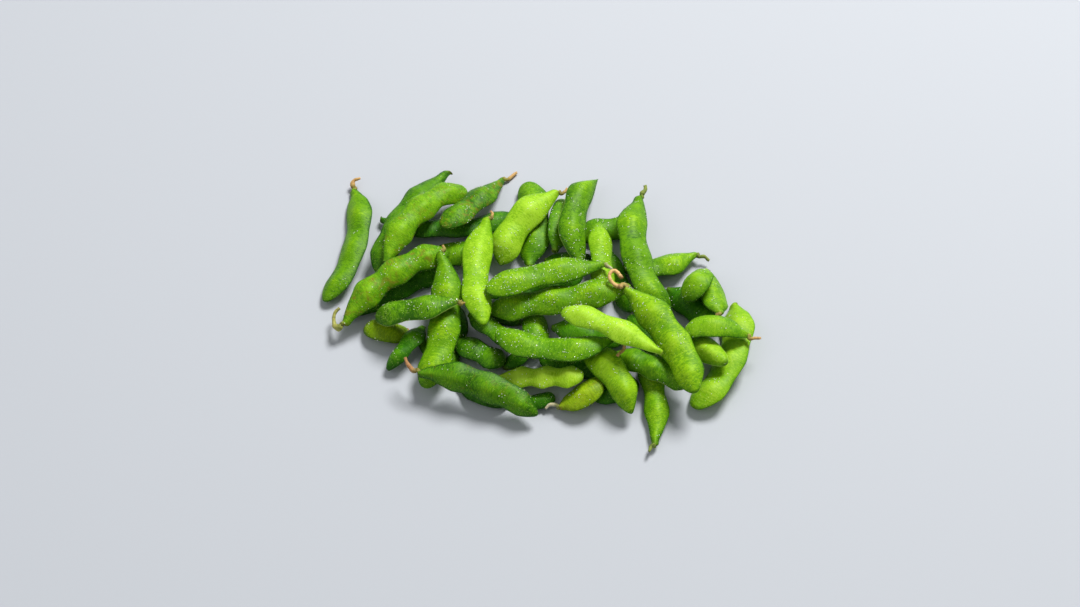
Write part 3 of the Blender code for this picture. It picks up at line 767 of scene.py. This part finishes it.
def tube_skin(name, line, radii, spine, seed, frayed):
    """A stalk with a lobed calyx that clasps the pod's neck, lengthwise ridges and a broken end."""
    clasp = np.array(CLASP)
    held = np.sqrt(tame(spine.at, spine.width * spine.height, clasp)) + CLASP_LIFT
    line = np.concatenate([smooth(spine.at, spine.middle, clasp), line])
    radii = np.concatenate([np.maximum(held, radii[0] + 0.1), radii])
    at = run_along(line)
    wanted = np.linspace(0.0, at[-1], max(10, int(at[-1] / STALK_STEP)))
    middle = smooth(at, line, wanted)
    radius = np.maximum(tame(at, radii, wanted), 0.3)
    along = np.gradient(middle, axis=0)
    side = unit(np.cross(along[0], AXIS_Z + 0.01))
    turn = np.arange(STALK_AROUND) / STALK_AROUND * 2.0 * math.pi
    rows = []
    for k, (point, ahead, size) in enumerate(zip(middle, along, radius)):
        ahead = unit(ahead)
        side = unit(side - ahead * (side @ ahead))
        other = np.cross(ahead, side)
        lobe = np.cos(LOBES * turn + seed)
        lobes = 1.0 + LOBE_SWELL * lobe * math.exp(-((wanted[k] / LOBE_REACH) ** 2))
        edges = 0.94 + EDGE_SWELL * np.cos(EDGES * turn + EDGE_TWIST * wanted[k] + seed)
        ridged = size * lobes * edges
        wobble = 1.0 + STALK_WOBBLE * noise.noise(Vector(point) * 0.9 + Vector((seed, 0.0, 0.0)))
        shift = 0.0
        if k < 3:
            shift = LOBE_LENGTH * lobe * (3 - k) / 3.0
        elif k >= len(middle) - 2:
            shift = frayed * np.cos(3.0 * turn + seed)
        outward = side[None, :] * np.cos(turn)[:, None] + other[None, :] * np.sin(turn)[:, None]
        ring = point + outward * (ridged * wobble)[:, None]
        rows.append(ring + np.broadcast_to(shift, turn.shape)[:, None] * ahead)
    rows = np.array(rows)
    mesh = lathe_mesh(name, rows, middle[0], middle[-1] + unit(along[-1]) * 0.15)
    outward_faces(mesh)
    run = np.concatenate([np.repeat(wanted, STALK_AROUND), [0.0, wanted[-1]]])
    around = np.concatenate([np.tile(np.sin(turn) + np.cos(turn), len(rows)), [0.0, 0.0]])
    calyx = np.exp(-((run - 1.6) / 1.2) ** 2)
    vector_attribute(mesh, "fibre", np.stack([run, around, calyx], axis=1))
    return new_piece(name, mesh)


# ---------------------------------------------------------------- the heap
slot_of = {part["node"]: part["material_slot"] for part in frame["record"]["subparts"]}
pod_nodes = sorted(name for name in frame["nodes"] if name.startswith("pod_"))
stalk_nodes = sorted(name for name in frame["nodes"] if name.startswith("stalk_"))
spines = {}
skins = []
for order, node in enumerate(pod_nodes):
    piece, spines[node], own = pod_skin(node, order + 1)
    family = own.skin or slot_of[node].removeprefix("pod_")
    piece.data.materials.append(pod_material(node, family, own, order + 1))
    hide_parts(node)
    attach(piece, "root")
    skins.append(piece)

for order, node in enumerate(stalk_nodes):
    spine = spines[node.replace("stalk", "pod")]
    family, stout = STALK_LOOK.get(node, (slot_of[node].removeprefix("stalk_"), STALK_STOUT))
    line, radii = stalk_path(node, spine.neck)
    piece = tube_skin(f"dry_{node}", line, radii * stout, spine, order + 1.0, STALK_FRAY)
    bark = stalk_material(f"{node}_{family}_bark", family, order + 1)
    piece.data.materials.append(bark)
    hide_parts(node)
    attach(piece, "root")

for order, stub in enumerate(STUBS):
    spine = spines[stub.pod]
    steps = [spine.outward * STUB_START] + [np.array(step) for step in stub.path]
    corners = np.array([spine.neck + step for step in steps])
    radii = np.linspace(STUB_FOOT, stub.radius, len(corners))
    corners[:, 2] = np.maximum(corners[:, 2], radii + STUB_CLEARANCE)
    seed = order + STUB_SEED
    piece = tube_skin(f"dry_{stub.name}", corners, radii, spine, float(seed), STUB_FRAY)
    bark = stalk_material(f"{stub.name}_{stub.colour}_bark", stub.colour, seed)
    piece.data.materials.append(bark)
    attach(piece, "root")


# ---------------------------------------------------------------- down
def down_hairs():
    """Fine short hairs that lean towards the beak, as small closed spikes."""
    chance = random.Random(DOWN_SEED)
    points, faces = [], []
    for piece in skins:
        mesh = piece.data
        quads = [face for face in mesh.polygons if len(face.vertices) == 4]
        areas = np.array([face.area for face in quads])
        total = areas.sum()
        bounds = np.cumsum(areas) / total
        count = int(DOWN_PER_POD * total / TYPICAL_SKIN)
        for _ in range(count):
            face = quads[min(int(np.searchsorted(bounds, chance.random())), len(quads) - 1)]
            corners = [mesh.vertices[i].co for i in face.vertices]
            u, v = chance.random(), chance.random()
            root = corners[0].lerp(corners[1], u).lerp(corners[3].lerp(corners[2], u), v)
            normal = face.normal
            ahead = (corners[3] + corners[2] - corners[0] - corners[1]).normalized()
            side = normal.cross(ahead).normalized()
            lean = ahead * chance.uniform(0.3, 1.1)
            lean = lean + side * chance.uniform(-0.35, 0.35)
            lean = lean + normal * chance.uniform(0.5, 1.0)
            long = chance.uniform(*HAIR_LENGTH) * MM
            half = chance.uniform(*HAIR_HALF) * MM
            root = root - normal * HAIR_ROOT * MM
            foot = [root + side * half, root - side * half, root + ahead * half * 1.6]
            spike = foot + [root + lean.normalized() * long]
            if min(point.z for point in spike) < HAIR_FLOOR * MM:
                continue
            base = len(points)
            points += spike
            faces += [tuple(base + i for i in corners) for corners in HAIR_FACES]
    mesh = bpy.data.meshes.new("pod_down")
    mesh.from_pydata([tuple(point) for point in points], [], faces)
    outward_faces(mesh)
    cell_map(mesh)
    kit = Nodes("pale_down")
    patch = kit.noise(kit.place(), DOWN_SCALE)
    colour = kit.ramp(patch, list(zip((0.30, 0.70), DOWN_COLOURS)))
    kit.put(kit.shader.inputs["Base Color"], colour)
    kit.shader.inputs["Roughness"].default_value = 0.5
    mesh.materials.append(kit.material)
    return new_piece("pod_down", mesh)


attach(down_hairs(), "root")


# ---------------------------------------------------------------- salt
def salt():
    """Small salt crystals lying on the tops of the pods, thickest over the middle of the heap."""
    chance = random.Random(SALT_SEED)
    tree_points, tree_faces = [], []
    for piece in skins:
        base = len(tree_points)
        tree_points += [vert.co.copy() for vert in piece.data.vertices]
        tree_faces += [tuple(base + i for i in face.vertices) for face in piece.data.polygons]
    tree = BVHTree.FromPolygons(tree_points, tree_faces)
    points, faces, places = [], [], []
    for _ in range(SALT_SPOTS):
        in_x, in_y = SALT_NEAR if chance.random() < SALT_NEAR_SHARE else SALT_FAR
        x, y = chance.gauss(*in_x), chance.gauss(*in_y)
        for _ in range(chance.randint(1, SALT_CLUSTER)):
            places.append((x + chance.gauss(0.0, SALT_SPREAD), y + chance.gauss(0.0, SALT_SPREAD)))
    for x, y in places:
        hit, normal, _, _ = tree.ray_cast(Vector((x, y, 0.2)), Vector((0.0, 0.0, -1.0)))
        if hit is None or normal.z < SALT_SLOPE:
            continue
        size = Vector([chance.uniform(*SALT_HALF) for _ in range(3)]) * MM
        turned = Matrix.Rotation(chance.uniform(0.0, math.pi), 3, "Z")
        turned = turned @ Matrix.Rotation(chance.uniform(-0.5, 0.5), 3, "X")
        lay = normal.to_track_quat("Z", "Y").to_matrix() @ turned
        middle = hit + normal * size.z * 0.7
        base = len(points)
        for i in range(8):
            signs = [1 if i >> axis & 1 else -1 for axis in range(3)]
            corner = [size[axis] * signs[axis] * chance.uniform(0.8, 1.0) for axis in range(3)]
            points.append(middle + lay @ Vector(corner))
        faces += [tuple(base + i for i in quad) for quad in GRAIN_FACES]
    mesh = bpy.data.meshes.new("salt_crystals")
    mesh.from_pydata([tuple(point) for point in points], [], faces)
    cell_map(mesh)
    kit = Nodes("salt")
    cloud = kit.noise(kit.place(), SALT_SCALE)
    colour = kit.ramp(cloud, list(zip((0.35, 0.60), SALT_COLOURS)))
    kit.put(kit.shader.inputs["Base Color"], colour)
    kit.shader.inputs["Roughness"].default_value = 0.18
    mesh.materials.append(kit.material)
    return new_piece("salt_crystals", mesh)


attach(salt(), "root")


# ---------------------------------------------------------------- table, light and camera
def table():
    mesh = bpy.data.meshes.new("table")
    half = 3.0
    corners = [(-half, -half, 0), (half, -half, 0), (half, half, 0), (-half, half, 0)]
    mesh.from_pydata(corners, [], [(0, 1, 2, 3)])
    made = new_piece("table", mesh)
    kit = Nodes("pale_table")
    kit.shader.inputs["Base Color"].default_value = TABLE_COLOUR
    kit.shader.inputs["Roughness"].default_value = 0.8
    mesh.materials.append(kit.material)


def shine(lamp):
    """A round area light that points at the middle of the heap."""
    data = bpy.data.lights.new(lamp.name, "AREA")
    data.shape = "DISK"
    data.size = lamp.size
    data.energy = lamp.energy
    data.color = lamp.colour
    made = bpy.data.objects.new(lamp.name, data)
    made.location = lamp.place
    made.rotation_mode = "QUATERNION"
    made.rotation_quaternion = (-Vector(lamp.place)).to_track_quat("-Z", "Y")
    bpy.context.scene.collection.objects.link(made)


def stage():
    table()
    for lamp in LAMPS:
        shine(lamp)
    world = bpy.data.worlds.new("studio")
    world.use_nodes = True
    world.node_tree.nodes["Background"].inputs["Color"].default_value = SKY_COLOUR
    world.node_tree.nodes["Background"].inputs["Strength"].default_value = SKY_STRENGTH
    bpy.context.scene.world = world
    bpy.context.scene.view_settings.view_transform = "Standard"
    bpy.context.scene.view_settings.look = "None"

    camera = bpy.data.cameras.new("camera")
    camera.sensor_width = SENSOR
    camera.lens = LENS
    camera.clip_start = 0.01
    camera.clip_end = 20.0
    made = bpy.data.objects.new("camera", camera)
    rise = math.radians(VIEW_ELEVATION)
    made.location = (
        VIEW_TARGET[0],
        VIEW_TARGET[1] - VIEW_DISTANCE * math.cos(rise),
        VIEW_DISTANCE * math.sin(rise),
    )
    made.rotation_euler = (math.pi / 2.0 - rise, 0.0, 0.0)
    bpy.context.scene.collection.objects.link(made)
    bpy.context.scene.camera = made


stage()
